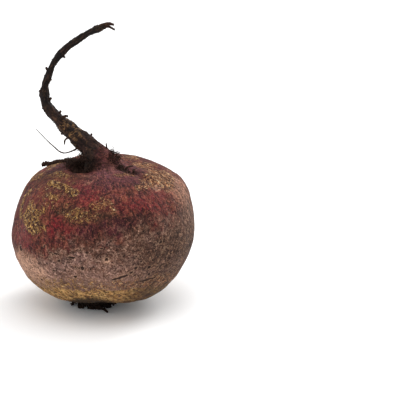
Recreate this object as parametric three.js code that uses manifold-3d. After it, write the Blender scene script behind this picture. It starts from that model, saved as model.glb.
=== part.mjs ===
// A whole beetroot, set down on its trimmed crown with the taproot up.
// It grew as one piece: a squat swollen root that runs out into a thin curling taproot, with
// rootlets in the two rows where a beet's side roots grow. Under it is the other piece, the
// tuft of dried leaf-stalk stubs that it stands on.
// Millimetres, +Z up. The origin is the middle of the tuft's trimmed face, on the floor.
import * as THREE from "three";
import { mergeVertices } from "three/addons/utils/BufferGeometryUtils.js";
import Module from "manifold-3d";

const wasm = await Module();
wasm.setup();

// Driving dimensions of the swollen root
const WIDEST_RADIUS = 39.4;
const WIDEST_HEIGHT = 34; // of the widest ring above the floor
const SHOULDER_RISE = 29.5; // from the widest ring up to where the taproot starts
const CROWN_DROP = 31.2; // from the widest ring down to the crown end
const SHOULDER_SQUARENESS = 2.74; // superellipse exponents: 2 is an ellipse, more is squarer
const CROWN_SQUARENESS = 2.02;
const AROUND = 60;
const RINGS = 34;

// Driving dimensions of the tuft of leaf-stalk stubs
const SEAT_HEIGHT = 5; // of the flat on the bulb that the tuft grows from
const BULB_ASIDE = new THREE.Vector3(4.4, 1.8, 0); // of the bulb's middle from the tuft's
const TUFT_RADIUS = 10.6;
const TUFT_GAP = 0.3; // between the tuft and the seat
const STUB_COUNT = 26;
const GOLDEN_ANGLE = THREE.MathUtils.degToRad(137.508);

// The rows of side roots lie opposite each other, near right and far left
const ROOT_ROW_AZIMUTH = THREE.MathUtils.degToRad(-35);
const FURROW_DEPTH = 1.3;
const FURROW_WIDTH = 2.6;
// The pocket between the leaning taproot and the near left shoulder
const RECESS = { x: -8.6, y: -5.4, radius: 5.2, depth: 3.4 };

// Broad swells and hollows: direction from the middle of the bulb, spread and rise
const SWELLS = [
  { azimuth: 180, tilt: -14, spread: 24, rise: 1.7 },
  { azimuth: 196, tilt: -42, spread: 20, rise: 2.3 },
  { azimuth: 4, tilt: -18, spread: 26, rise: 0.4 },
  { azimuth: 10, tilt: 34, spread: 20, rise: 1 },
  { azimuth: 194, tilt: 24, spread: 22, rise: -2 },
  { azimuth: -22, tilt: -54, spread: 21, rise: 3.2 },
  { azimuth: -155, tilt: -64, spread: 24, rise: 2.4 },
  { azimuth: -60, tilt: -66, spread: 16, rise: 0.9 },
  { azimuth: 62, tilt: 20, spread: 28, rise: 1.2 },
  { azimuth: 112, tilt: -20, spread: 30, rise: -1.1 },
  { azimuth: 95, tilt: -58, spread: 24, rise: 1.2 },
];

// The taproot's middle line and radius, from inside the bulb to the broken tip
const TAPROOT = [
  { x: 0.2, y: -0.6, z: 55.8, radius: 11.8 },
  { x: -0.4, y: -1.2, z: 60, radius: 9.6 },
  { x: -1.8, y: -1.6, z: 65.4, radius: 6.6 },
  { x: -4.8, y: -1, z: 70.2, radius: 4.7 },
  { x: -9.3, y: 0.2, z: 73.9, radius: 4 },
  { x: -13.4, y: 1.4, z: 77.4, radius: 3.5 },
  { x: -17.7, y: 2.4, z: 81.3, radius: 2.9 },
  { x: -21.8, y: 3.2, z: 85.6, radius: 2.4 },
  { x: -24.1, y: 3.8, z: 89.5, radius: 2.15 },
  { x: -24.8, y: 4, z: 93.4, radius: 2.05 },
  { x: -24.5, y: 3.8, z: 97.5, radius: 1.65 },
  { x: -22.8, y: 3, z: 102.3, radius: 1.4 },
  { x: -20.5, y: 1.8, z: 107.7, radius: 1.45 },
  { x: -16.4, y: 0.2, z: 113.3, radius: 1.6 },
  { x: -11.5, y: -1.6, z: 117.7, radius: 1.5 },
  { x: -6.2, y: -3.2, z: 121.5, radius: 1.3 },
  { x: -1.7, y: -4.4, z: 123.9, radius: 1.55 },
  { x: 2, y: -5.2, z: 125.5, radius: 1.2 },
];
const TAPROOT_SIDES = 14;
const TAPROOT_STEPS = 56;

const SKIN = new THREE.MeshStandardMaterial({
  color: 0x6f423f,
  roughness: 0.75,
  metalness: 0,
});
const DRIED_STALK = new THREE.MeshStandardMaterial({
  color: 0x2c1f18,
  roughness: 0.9,
  metalness: 0,
});

// A repeatable stream of numbers from 0 to 1
function seededRandom(seed) {
  let state = seed;
  return () => {
    state = (state * 1664525 + 1013904223) % 4294967296;
    return state / 4294967296;
  };
}

function smoothstep(from, to, value) {
  const share = THREE.MathUtils.clamp((value - from) / (to - from), 0, 1);
  return share * share * (3 - 2 * share);
}

// Turns a closed three.js geometry into a solid that can be joined and cut
function solid(geometry) {
  const bare = geometry.clone();
  bare.deleteAttribute("normal");
  bare.deleteAttribute("uv");
  const merged = mergeVertices(bare, 1e-4);
  return new wasm.Manifold(
    new wasm.Mesh({
      numProp: 3,
      vertProperties: new Float32Array(merged.attributes.position.array),
      triVerts: new Uint32Array(merged.index.array),
    }),
  );
}

function geometryOf(manifold) {
  const mesh = manifold.getMesh();
  const geometry = new THREE.BufferGeometry();
  const positions = new THREE.BufferAttribute(mesh.vertProperties, 3);
  geometry.setAttribute("position", positions);
  geometry.setIndex(new THREE.BufferAttribute(mesh.triVerts, 1));
  geometry.computeVertexNormals();
  return geometry;
}

function reshape(geometry, move) {
  const positions = geometry.attributes.position;
  const point = new THREE.Vector3();
  for (let i = 0; i < positions.count; i++) {
    point.fromBufferAttribute(positions, i);
    move(point);
    positions.setXYZ(i, point.x, point.y, point.z);
  }
  return geometry;
}

// How far the skin stands out or in at a place on the bulb, along the line from its middle
function skinOffset(place, outward) {
  let offset = 0;
  for (const { azimuth, tilt, spread, rise } of SWELLS) {
    const turn = THREE.MathUtils.degToRad(azimuth);
    const up = THREE.MathUtils.degToRad(tilt);
    const middle = new THREE.Vector3(
      Math.cos(turn) * Math.cos(up),
      Math.sin(turn) * Math.cos(up),
      Math.sin(up),
    );
    const away = outward.angleTo(middle) / THREE.MathUtils.degToRad(spread);
    offset += rise * Math.exp(-away * away);
  }
  const along =
    place.x * Math.cos(ROOT_ROW_AZIMUTH) + place.y * Math.sin(ROOT_ROW_AZIMUTH);
  const across =
    place.y * Math.cos(ROOT_ROW_AZIMUTH) - place.x * Math.sin(ROOT_ROW_AZIMUTH);
  const upperSide = smoothstep(0, 12, place.z);
  const inRow =
    smoothstep(5, 11, Math.abs(along)) *
    (1 - smoothstep(22, 36, Math.abs(along)));
  const furrow = Math.exp(-((across / FURROW_WIDTH) ** 2)) * inRow * upperSide;
  const besideRoot =
    Math.hypot(place.x - RECESS.x, place.y - RECESS.y) / RECESS.radius;
  const recess = RECESS.depth * Math.exp(-besideRoot * besideRoot) * upperSide;
  return offset - FURROW_DEPTH * furrow - recess;
}

function bulb() {
  const profile = [];
  for (let ring = 0; ring <= RINGS; ring++) {
    const latitude = (ring / RINGS - 0.5) * Math.PI;
    const above = latitude > 0;
    const power = 2 / (above ? SHOULDER_SQUARENESS : CROWN_SQUARENESS);
    const height = above ? SHOULDER_RISE : CROWN_DROP;
    const out = WIDEST_RADIUS * Math.cos(latitude) ** power;
    const up =
      Math.sign(latitude) * height * Math.abs(Math.sin(latitude)) ** power;
    const atPole = ring === 0 || ring === RINGS;
    profile.push(new THREE.Vector2(atPole ? 0 : out, up));
  }
  const turned = new THREE.LatheGeometry(profile, AROUND).rotateX(Math.PI / 2);
  const outward = new THREE.Vector3();
  const shaped = reshape(turned, (point) => {
    outward.copy(point).normalize();
    point.addScaledVector(outward, skinOffset(point, outward));
    point.z += WIDEST_HEIGHT;
  });
  const below = new THREE.BoxGeometry(200, 200, 100);
  below.translate(0, 0, SEAT_HEIGHT - 50);
  return solid(shaped).subtract(solid(below));
}

// A round tapering tube along a line, bent from a closed cylinder
function taperedTube(line, radiusAt, sides, steps) {
  const straight = new THREE.CylinderGeometry(1, 1, 1, sides, steps);
  const across = new THREE.Vector3();
  const aside = new THREE.Vector3();
  return reshape(straight, (point) => {
    const share = THREE.MathUtils.clamp(point.y + 0.5, 0, 1);
    const middle = line.getPoint(share);
    const along = line.getTangent(share);
    across.set(0, 1, 0).addScaledVector(along, -along.y);
    if (across.lengthSq() < 0.1)
      across.set(1, 0, 0).addScaledVector(along, -along.x);
    across.normalize();
    aside.crossVectors(across, along).normalize();
    const turn = Math.atan2(point.z, point.x);
    const reach = Math.hypot(point.x, point.z) * radiusAt(share, turn);
    const outwards = across.multiplyScalar(reach * Math.cos(turn));
    outwards.addScaledVector(aside, reach * Math.sin(turn));
    point.copy(middle).add(outwards);
  });
}

function curve(points) {
  const vectors = points.map(({ x, y, z }) => new THREE.Vector3(x, y, z));
  return new THREE.CatmullRomCurve3(vectors, false, "catmullrom", 0.5);
}

const taprootLine = curve(TAPROOT);
const taprootGirth = new THREE.SplineCurve(
  TAPROOT.map(({ radius }, i) => new THREE.Vector2(i, radius)),
);

function taproot() {
  const girth = (share, turn) => {
    const knots = 0.07 * Math.sin(share * 61 + 1.3 * Math.cos(turn));
    const flats = 0.06 * Math.cos(3 * turn + share * 9);
    return taprootGirth.getPoint(share).y * (1 + knots + flats);
  };
  return solid(
    taperedTube(taprootLine, girth, TAPROOT_SIDES, TAPROOT_STEPS),
  );
}

function rootlet(points, thick, thin) {
  const steps = 2 * (points.length - 1);
  const radiusAt = (share) => THREE.MathUtils.lerp(thick, thin, share);
  return solid(taperedTube(curve(points), radiusAt, 5, steps));
}

// The two prongs that the taproot's tip is torn into
function tornTip() {
  const upper = [
    { x: 0.2, y: -5, z: 125.3 },
    { x: 3.5, y: -5.8, z: 126.7 },
    { x: 6, y: -6.6, z: 126.5 },
  ];
  const lower = [
    { x: 0.2, y: -5, z: 125 },
    { x: 3.6, y: -5, z: 125.3 },
    { x: 6.3, y: -5.6, z: 124 },
  ];
  return [rootlet(upper, 1, 0.6), rootlet(lower, 0.8, 0.45)];
}

// Broken rootlets along the two sides of the taproot where its rows of side roots run
function rowRootlets() {
  const random = seededRandom(7);
  const made = [];
  const count = 9;
  for (let i = 0; i < count; i++) {
    const share = 0.2 + (0.6 * (i + 0.8 * random())) / count;
    const side = i % 2 === 0 ? 1 : -1;
    const start = taprootLine.getPoint(share);
    const along = taprootLine.getTangent(share);
    const out = new THREE.Vector3(along.z, 0, -along.x).multiplyScalar(side);
    out.y = (random() - 0.5) * 1.6;
    out.normalize();
    const girth = taprootGirth.getPoint(share).y;
    const length = girth + 0.5 + 1.6 * random() * random();
    const slant = 1.6 * (random() - 0.2);
    const middle = start.clone().addScaledVector(out, 0.6 * length);
    const end = start.clone().addScaledVector(out, length);
    end.addScaledVector(along, slant);
    made.push(rootlet([start, middle, end], 0.85, 0.45));
  }
  return made;
}

// Rootlets placed one by one: the long whisker and the hook on the left, the upright one
// and the broken one on the right, and the side root that lies over the far left shoulder
function singleRootlets() {
  const whisker = [
    { x: -8.5, y: 0, z: 72 },
    { x: -12.2, y: -3, z: 70.5 },
    { x: -17.1, y: -3.8, z: 69.5 },
    { x: -21.6, y: -3.4, z: 72.9 },
    { x: -26, y: -2.6, z: 77.4 },
  ];
  const hook = [
    { x: -12.8, y: 0.4, z: 76.4 },
    { x: -15.8, y: -2, z: 75 },
    { x: -16.3, y: -2, z: 72.7 },
  ];
  const upright = [
    { x: 0.6, y: -1.6, z: 67 },
    { x: 1.8, y: -2.2, z: 71 },
    { x: 1.7, y: -2.6, z: 73.4 },
  ];
  const broken = [
    { x: -18.6, y: 2, z: 82.6 },
    { x: -15.9, y: -0.6, z: 85 },
    { x: -14.6, y: -1, z: 85.1 },
  ];
  const sideRoot = [
    { x: -5.4, y: 2, z: 63 },
    { x: -13.1, y: 7.6, z: 62.8 },
    { x: -18.2, y: 11, z: 61.4 },
    { x: -23.3, y: 13.6, z: 59.6 },
    { x: -27.4, y: 15.4, z: 58.6 },
  ];
  return [
    rootlet(whisker, 0.6, 0.4),
    rootlet(hook, 0.65, 0.4),
    rootlet(upright, 0.7, 0.4),
    rootlet(broken, 0.8, 0.6),
    rootlet(sideRoot, 0.8, 1),
  ];
}

// Rootlets that lie in the near furrow and cross over each other, from the taproot outwards
function furrowRootlets() {
  const random = seededRandom(23);
  const made = [];
  for (let i = 0; i < 8; i++) {
    const out = 6.4 + i * 1.3;
    const turn = ROOT_ROW_AZIMUTH + (random() - 0.5) * 0.3;
    const heading = ROOT_ROW_AZIMUTH + (i % 2 === 0 ? 1 : -1) * (0.5 + random());
    const reach = 1.6 + 1.4 * random();
    const drop = 0.2 * Math.max(0, out - 8);
    const foot = { x: out * Math.cos(turn), y: out * Math.sin(turn), z: 61 - drop };
    const middle = {
      x: foot.x + 0.5 * reach * Math.cos(heading),
      y: foot.y + 0.5 * reach * Math.sin(heading),
      z: 63.4 - drop + random(),
    };
    const tip = {
      x: middle.x + reach * Math.cos(heading),
      y: middle.y + reach * Math.sin(heading),
      z: middle.z + 1.4 * (random() - 0.35),
    };
    made.push(rootlet([foot, middle, tip], 0.65, 0.4));
  }
  return made;
}

function beetroot() {
  return wasm.Manifold.union([
    bulb(),
    taproot(),
    ...tornTip(),
    ...rowRootlets(),
    ...singleRootlets(),
    ...furrowRootlets(),
  ]);
}

// One dried leaf stalk from its foot on the crown to its cut end: wide and thin like the
// base of a leaf stalk, hollow on the side that faces the middle, splayed outwards by an angle
function stalkStub({ turn, out, height, splay, length, width }) {
  const stalk = new THREE.CylinderGeometry(1, 0.8, length, 8, 2);
  reshape(stalk, (point) => {
    const facesMiddle = point.x < 0;
    point.x *= width * (facesMiddle ? 0.15 : 0.5);
    point.y -= length / 2;
    point.z *= width;
  });
  stalk.rotateX(Math.PI / 2).rotateY(-splay);
  return solid(stalk.translate(out, 0, height).rotateZ(turn));
}

// The leaf stalks grow in a spiral, each a golden angle on from the last. The longer ones are
// trimmed off level, and the beetroot stands on their cut ends and on the middle of the crown.
function leafStalkStubs() {
  const random = seededRandom(41);
  const top = SEAT_HEIGHT - TUFT_GAP;
  const core = new THREE.LatheGeometry(
    [
      new THREE.Vector2(0, 0),
      new THREE.Vector2(0.36 * TUFT_RADIUS, 0),
      new THREE.Vector2(0.46 * TUFT_RADIUS, 0.8),
      new THREE.Vector2(0.8 * TUFT_RADIUS, 1.3),
      new THREE.Vector2(TUFT_RADIUS, 3.1),
      new THREE.Vector2(0.97 * TUFT_RADIUS, top),
      new THREE.Vector2(0, top),
    ],
    32,
  ).rotateX(Math.PI / 2);
  const pieces = [solid(core)];
  for (let i = 1; i <= STUB_COUNT; i++) {
    const spread = Math.sqrt(i / STUB_COUNT);
    const stub = {
      turn: i * GOLDEN_ANGLE,
      out: (0.14 + 0.54 * spread) * TUFT_RADIUS,
      height: 3.6,
      splay: THREE.MathUtils.degToRad(8 + 26 * spread + 12 * random()),
      length: 3.6 + 1.8 * random() + 0.8 * spread,
      width: 1.3 + 0.8 * random(),
    };
    pieces.push(stalkStub(stub));
  }
  const pointed = [
    { x: 1.6, y: -6.4, z: 2.2 },
    { x: 3.4, y: -9.8, z: 1.2 },
    { x: 6.2, y: -13.8, z: 0.5 },
  ];
  pieces.push(rootlet(pointed, 1.2, 0.4));
  const floor = new THREE.BoxGeometry(200, 200, 100).translate(0, 0, -50);
  const overhang = new THREE.BoxGeometry(200, 200, 100);
  overhang.translate(0, 0, top + 50);
  return wasm.Manifold.union(pieces)
    .subtract(solid(floor))
    .subtract(solid(overhang));
}

const whole = new THREE.Group();

const root = new THREE.Mesh(geometryOf(beetroot()), SKIN);
root.name = "beetroot";
root.position.copy(BULB_ASIDE);
whole.add(root);

const tuft = new THREE.Mesh(geometryOf(leafStalkStubs()), DRIED_STALK);
tuft.name = "leaf_stalk_stubs";
whole.add(tuft);

export default whole;
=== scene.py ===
import math

import bpy
import numpy as np
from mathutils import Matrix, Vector, noise


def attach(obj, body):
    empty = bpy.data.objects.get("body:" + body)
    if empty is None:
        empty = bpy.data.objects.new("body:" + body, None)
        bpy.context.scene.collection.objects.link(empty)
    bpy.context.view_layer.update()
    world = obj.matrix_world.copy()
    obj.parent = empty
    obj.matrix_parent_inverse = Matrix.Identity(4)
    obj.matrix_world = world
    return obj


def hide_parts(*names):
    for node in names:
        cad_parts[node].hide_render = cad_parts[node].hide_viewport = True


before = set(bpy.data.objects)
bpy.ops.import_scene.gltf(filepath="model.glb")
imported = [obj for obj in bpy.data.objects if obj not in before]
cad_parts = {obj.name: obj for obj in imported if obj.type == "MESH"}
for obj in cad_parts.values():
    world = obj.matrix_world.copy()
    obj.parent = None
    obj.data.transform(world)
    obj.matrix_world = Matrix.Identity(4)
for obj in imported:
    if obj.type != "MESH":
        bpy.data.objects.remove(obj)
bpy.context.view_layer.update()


# The swollen root and its taproot. They grew as one body of flesh under one thin corky skin:
# a squat round bulb, narrowing over the shoulder into a taproot that leans left and curls back
# to a torn tip. All of this section's lengths are millimetres from the bulb's own middle line.
MM = 0.001
BULB_ASIDE = np.array([4.4, 1.8, 0.0])  # of the bulb's middle line from the frame's origin
WIDEST_RADIUS = 39.4
WIDEST_HEIGHT = 34.0
SHOULDER_RISE = 29.5
CROWN_DROP = 31.2
SHOULDER_SQUARENESS = 2.74
CROWN_SQUARENESS = 2.02
SEAT_HEIGHT = 5.0
SEAT_ROUNDING = 1.1  # of the corky lip where the skin turns in to the seat
ROOT_ROW_BEARING = math.radians(-35)  # of the furrow that the near row of side roots grows in
FURROW_DEPTH = 1.3
FURROW_WIDTH = 2.6
SWELLS = [  # bearing, tilt, spread in degrees, rise in mm
    (180, -14, 24, 1.7),
    (196, -42, 20, 2.3),
    (4, -18, 26, 0.4),
    (10, 34, 20, 1.0),
    (194, 24, 22, -2.0),
    (-22, -54, 21, 3.2),
    (-155, -64, 24, 2.4),
    (-60, -66, 16, 0.9),
    (62, 20, 28, 1.2),
    (112, -20, 30, -1.1),
    (95, -58, 24, 1.2),
]
TAPROOT = [  # x, y, z and radius of its middle line
    (0.2, -0.6, 55.8, 11.8),
    (-0.4, -1.2, 60, 9.6),
    (-1.8, -1.6, 65.4, 6.6),
    (-4.8, -1, 70.2, 4.7),
    (-9.3, 0.2, 73.9, 4),
    (-13.4, 1.4, 77.4, 3.5),
    (-17.7, 2.4, 81.3, 2.9),
    (-21.8, 3.2, 85.6, 2.4),
    (-24.1, 3.8, 89.5, 2.15),
    (-24.8, 4, 93.4, 2.05),
    (-24.5, 3.8, 97.5, 1.65),
    (-22.8, 3, 102.3, 1.4),
    (-20.5, 1.8, 107.7, 1.45),
    (-16.4, 0.2, 113.3, 1.6),
    (-11.5, -1.6, 117.7, 1.5),
    (-6.2, -3.2, 121.5, 1.3),
    (-1.7, -4.4, 123.9, 1.55),
    (2, -5.2, 125.5, 1.2),
]
POCKET = (-8.0, -4.4)  # beside the taproot, on the near left
POCKET_RADIUS = 5.2
POCKET_DEPTH = 4.2
NECK_REACH = 11.5  # radius at which the shoulder starts to rise into the taproot
NECK_SHARE = 0.125  # share of the taproot's line at which the neck has become the taproot
SKIN_STEP = 0.66  # between rings of the skin's mesh
TAPROOT_STEP = 0.42
LUMP_SIZE, LUMP_HEIGHT = 13, 0.4  # the low relief of the skin, from coarse to fine
DIMPLE_SIZE, DIMPLE_HEIGHT = 5, 0.16
FINE_LUMP_SIZE, FINE_LUMP_HEIGHT = 2.4, 0.07
WRINKLE_SIZE, WRINKLE_HEIGHT = 3, 0.22  # round the neck
ROOT_RIDGE_SIZE, ROOT_RIDGE_HEIGHT = 2.6, 0.36
ROOT_BUMP_SIZE, ROOT_BUMP_HEIGHT = 1.7, 0.26
ROOT_WRINKLE_HEIGHT = 0.2
PIT_DEPTH = 0.34
NET_RISE = 0.16


def smoothstep(low, high, value):
    share = np.clip((value - low) / (high - low), 0, 1)
    return share * share * (3 - 2 * share)


def bell(value, middle, width):
    return np.exp(-(((value - middle) / width) ** 2))


def bulb_profile(latitude):
    upper = latitude > 0
    power = np.where(upper, 2 / SHOULDER_SQUARENESS, 2 / CROWN_SQUARENESS)
    height = np.where(upper, SHOULDER_RISE, CROWN_DROP)
    out = WIDEST_RADIUS * np.clip(np.cos(latitude), 1e-9, 1) ** power
    up = np.sign(latitude) * height * np.abs(np.sin(latitude)) ** power
    return out, up


def bulb_skin(bearing, latitude):
    """Points on the swollen root, for a bearing and a latitude in radians."""
    out, up = bulb_profile(latitude)
    place = np.stack([out * np.cos(bearing), out * np.sin(bearing), up], -1)
    outward = place / np.linalg.norm(place, axis=-1, keepdims=True)
    rise = np.zeros(out.shape)
    for swell_bearing, tilt, spread, height in SWELLS:
        turn, lift = math.radians(swell_bearing), math.radians(tilt)
        middle = np.array(
            [math.cos(turn) * math.cos(lift), math.sin(turn) * math.cos(lift), math.sin(lift)]
        )
        away = np.arccos(np.clip(outward @ middle, -1, 1)) / math.radians(spread)
        rise += height * np.exp(-(away**2))
    row = np.array([math.cos(ROOT_ROW_BEARING), math.sin(ROOT_ROW_BEARING)])
    along = np.abs(place[..., :2] @ row)
    across = place[..., 1] * row[0] - place[..., 0] * row[1]
    in_row = smoothstep(5, 11, along) * (1 - smoothstep(22, 36, along)) * smoothstep(0, 12, up)
    rise -= FURROW_DEPTH * np.exp(-((across / FURROW_WIDTH) ** 2)) * in_row
    place += outward * rise[..., None]
    place[..., 2] += WIDEST_HEIGHT
    above = place[..., 2] - SEAT_HEIGHT
    place[..., 2] = SEAT_HEIGHT + 0.5 * (above + np.sqrt(above**2 + SEAT_ROUNDING**2))
    return place


def on_curve(knots, share):
    """A smooth curve through knots; share runs from 0 at the first to 1 at the last."""
    knots = np.asarray(knots, float)
    padded = np.vstack([2 * knots[0] - knots[1], knots, 2 * knots[-1] - knots[-2]])
    at = np.clip(np.atleast_1d(share), 0, 1) * (len(knots) - 1)
    index = np.minimum(at.astype(int), len(knots) - 2)
    t = (at - index)[:, None]
    before, start, end, after = (padded[index + k] for k in range(4))
    leave, arrive = (end - before) / 2, (after - start) / 2
    bend = 3 * (end - start) - 2 * leave - arrive
    return start + leave * t + bend * t**2 + (2 * (start - end) + leave + arrive) * t**3


def taproot_ring(share, turns):
    """A ring of points round the taproot, for turns that are bearings at its foot."""
    knot = on_curve(TAPROOT, share)[0]
    ahead = on_curve(TAPROOT, min(share + 0.004, 1))[0, :3]
    behind = on_curve(TAPROOT, max(share - 0.004, 0))[0, :3]
    along = (ahead - behind) / np.linalg.norm(ahead - behind)
    across = np.array([0.0, 1.0, 0.0])
    across -= along * along[1]
    across /= np.linalg.norm(across)
    aside = np.cross(across, along)
    source_turn = math.pi / 2 - turns
    knots_on_root = 0.07 * np.sin(share * 61 + 1.3 * np.cos(source_turn))
    flats = 0.06 * np.cos(3 * source_turn + share * 9)
    reach = knot[3] * (1 + knots_on_root + flats)
    spokes = aside * np.cos(turns)[:, None] + across * np.sin(turns)[:, None]
    return knot[:3] + spokes * reach[:, None]


def bearings(count):
    return np.arange(count) * 2 * math.pi / count


dense_latitude = np.linspace(-math.pi / 2, math.pi / 2, 4001)
dense_out, dense_up = bulb_profile(dense_latitude)
dense_along = np.concatenate([[0], np.cumsum(np.hypot(np.diff(dense_out), np.diff(dense_up)))])
neck_start = dense_along[np.argmax((dense_latitude > 0) & (dense_out < NECK_REACH))]
taproot_knots = on_curve(TAPROOT, np.linspace(NECK_SHARE, 1, 400))[:, :3]
taproot_length = np.linalg.norm(np.diff(taproot_knots, axis=0), axis=1).sum()


def latitude_at(along):
    return np.interp(along, dense_along, dense_latitude)


skin_rings = []  # from the middle of the crown to the tip: points, mm along the skin
for along in np.linspace(0.4, neck_start, round(neck_start / SKIN_STEP)):
    latitude = latitude_at(along)
    out = bulb_profile(latitude)[0]
    count = 45 if out < 4 else 90 if out < 8 else 180 if out < 16 and latitude < 0 else 360
    turns = bearings(count)
    skin_rings.append((bulb_skin(turns, np.full(count, latitude)), along, turns))

NECK_RINGS = 14
turns = bearings(180)
shoulder = bulb_skin(turns, np.full(180, latitude_at(neck_start)))
shoulder_before = bulb_skin(turns, np.full(180, latitude_at(neck_start - 0.5)))
foot = taproot_ring(NECK_SHARE, turns)
foot_after = taproot_ring(NECK_SHARE + 0.006, turns)
span = np.linalg.norm(foot - shoulder, axis=1, keepdims=True)
leave = (shoulder - shoulder_before) / 0.5 * span
arrive = foot_after - foot
arrive *= span / np.linalg.norm(arrive, axis=1, keepdims=True)
neck_length = float(span.mean())
for ring in range(1, NECK_RINGS):
    t = ring / NECK_RINGS
    start_share, end_share = 2 * t**3 - 3 * t**2 + 1, -2 * t**3 + 3 * t**2
    points = shoulder * start_share + foot * end_share
    points += leave * (t**3 - 2 * t**2 + t) + arrive * (t**3 - t**2)
    skin_rings.append((points, neck_start + t * neck_length, turns))

taproot_start = neck_start + neck_length
for travelled in np.linspace(0, 1, round(taproot_length / TAPROOT_STEP)):
    share = NECK_SHARE + (1 - NECK_SHARE) * travelled
    count = 90 if share < 0.4 else 45
    turns = bearings(count)
    along = taproot_start + travelled * taproot_length
    skin_rings.append((taproot_ring(share, turns), along, turns))

skin_points = np.vstack([points for points, _, _ in skin_rings])
skin_along = np.concatenate([np.full(len(points), along) for points, along, _ in skin_rings])
skin_bearing = np.concatenate([turns for _, _, turns in skin_rings])


def stitch(first, first_count, second, second_count):
    """Faces between two rings of one body, of equal counts or one twice the other."""
    faces = []
    for i in range(max(first_count, second_count)):
        after = i + 1
        if first_count == second_count:
            j = after % first_count
            faces.append((first + i, first + j, second + j, second + i))
        elif first_count > second_count:
            a, b = first + i, first + after % first_count
            c = second + (i // 2 + i % 2) % second_count
            faces.append((a, b, c))
            if i % 2 == 1:
                faces.append((second + i // 2, a, c))
        else:
            c, d = second + i, second + after % second_count
            a = first + (i // 2 + i % 2) % first_count
            faces.append((a, d, c))
            if i % 2 == 1:
                faces.append((first + i // 2, a, c))
    return faces


def ring_faces(counts):
    """Faces of a body of rings, closed by a fan of triangles at both ends."""
    faces = []
    start = 0
    for count, following in zip(counts, counts[1:]):
        faces += stitch(start, count, start + count, following)
        start += count
    total = sum(counts)
    faces += [(total, (i + 1) % counts[0], i) for i in range(counts[0])]
    faces += [(total + 1, start + i, start + (i + 1) % counts[-1]) for i in range(counts[-1])]
    return faces


def grow(name, points_mm, faces, aside=BULB_ASIDE):
    """A smooth-shaded mesh object in the frame, from points in mm."""
    mesh = bpy.data.meshes.new(name)
    mesh.from_pydata(((points_mm + aside) * MM).tolist(), [], faces)
    mesh.validate()
    mesh.shade_smooth()
    piece = bpy.data.objects.new(name, mesh)
    bpy.context.scene.collection.objects.link(piece)
    return piece


ring_counts = [len(points) for points, _, _ in skin_rings]
skin_points = np.vstack([skin_points, skin_rings[0][0].mean(0), skin_rings[-1][0].mean(0)])
skin_along = np.append(skin_along, [0, skin_along[-1]])
skin_bearing = np.append(skin_bearing, [0, 0])
beet = grow("beetroot_skin", skin_points, ring_faces(ring_counts))


def roughness_of(places, size, octaves=3, seed=0):
    """Smooth noise between about -1 and 1, with lumps of a size in mm."""
    scaled = places / size + seed * 17.3
    return np.array([noise.fractal(Vector(p), 1.0, 2.0, octaves) for p in scaled])


def skin_normals():
    normals = np.empty(len(beet.data.vertices) * 3)
    beet.data.vertices.foreach_get("normal", normals)
    return normals.reshape(-1, 3)


# Places for the grain, which runs from crown to tip over the bulb and along the taproot
GRAIN_ROUND_BULB = 30.0
GRAIN_ROUND_TAPROOT = 3.6
TIP_RELIEF = 0.55  # as a share of the relief at the taproot's foot
on_taproot = smoothstep(neck_start + 1, taproot_start + 3, skin_along)
grain_girth = GRAIN_ROUND_BULB + (GRAIN_ROUND_TAPROOT - GRAIN_ROUND_BULB) * on_taproot
grain_place = np.stack(
    [grain_girth * np.cos(skin_bearing), grain_girth * np.sin(skin_bearing), skin_along], -1
)
stretched_grain = grain_place * np.array([1, 1, 0.28])
on_bulb = 1 - on_taproot
lumps = roughness_of(skin_points, LUMP_SIZE)
dimples = roughness_of(stretched_grain, DIMPLE_SIZE, seed=1)
fine_lumps = roughness_of(skin_points, FINE_LUMP_SIZE, seed=2)
out_from_middle = np.hypot(skin_points[:, 0], skin_points[:, 1])
near_neck = bell(out_from_middle, 15, 9) * (skin_points[:, 2] > 50)
wrinkles = roughness_of(grain_place * np.array([0.12, 0.12, 1.6]), WRINKLE_SIZE, seed=3)
root_wrinkles = roughness_of(grain_place * np.array([0.16, 0.16, 0.9]), WRINKLE_SIZE, seed=4)
root_ridges = roughness_of(grain_place * np.array([1, 1, 0.3]), ROOT_RIDGE_SIZE, seed=5)
root_bumps = roughness_of(skin_points, ROOT_BUMP_SIZE, seed=8)
relief = LUMP_HEIGHT * lumps + DIMPLE_HEIGHT * dimples + FINE_LUMP_HEIGHT * fine_lumps
relief = on_bulb * (relief + near_neck * WRINKLE_HEIGHT * wrinkles)
root_relief = ROOT_RIDGE_HEIGHT * root_ridges + ROOT_WRINKLE_HEIGHT * root_wrinkles
root_relief += ROOT_BUMP_HEIGHT * root_bumps
taproot_run = [taproot_start, skin_along[-1]]
relief += on_taproot * np.interp(skin_along, taproot_run, [1, TIP_RELIEF]) * root_relief
seat_calm = smoothstep(4, 10, skin_along)
skin_points += skin_normals() * (relief * seat_calm)[:, None]
from_pocket = np.hypot(skin_points[:, 0] - POCKET[0], skin_points[:, 1] - POCKET[1])
in_pocket = np.exp(-((from_pocket / POCKET_RADIUS) ** 4)) * (skin_points[:, 2] > 40)
in_pocket *= 1 - smoothstep(64, 66, skin_points[:, 2])
skin_points[:, 2] -= POCKET_DEPTH * in_pocket


def skin_place(bearing, along):
    """A point on the smooth bulb, with the directions aside, up the skin and outwards."""
    turn = np.array([math.radians(bearing)])
    here = bulb_skin(turn, latitude_at(np.array([along])))[0]
    higher = bulb_skin(turn, latitude_at(np.array([along + 0.5])))[0]
    up_skin = (higher - here) / np.linalg.norm(higher - here)
    aside = np.array([-math.sin(turn[0]), math.cos(turn[0]), 0])
    return here, aside, up_skin, np.cross(aside, up_skin)


ragged = roughness_of(skin_points, 5, seed=6) + 0.5 * roughness_of(skin_points, 1.6, seed=7)


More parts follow.
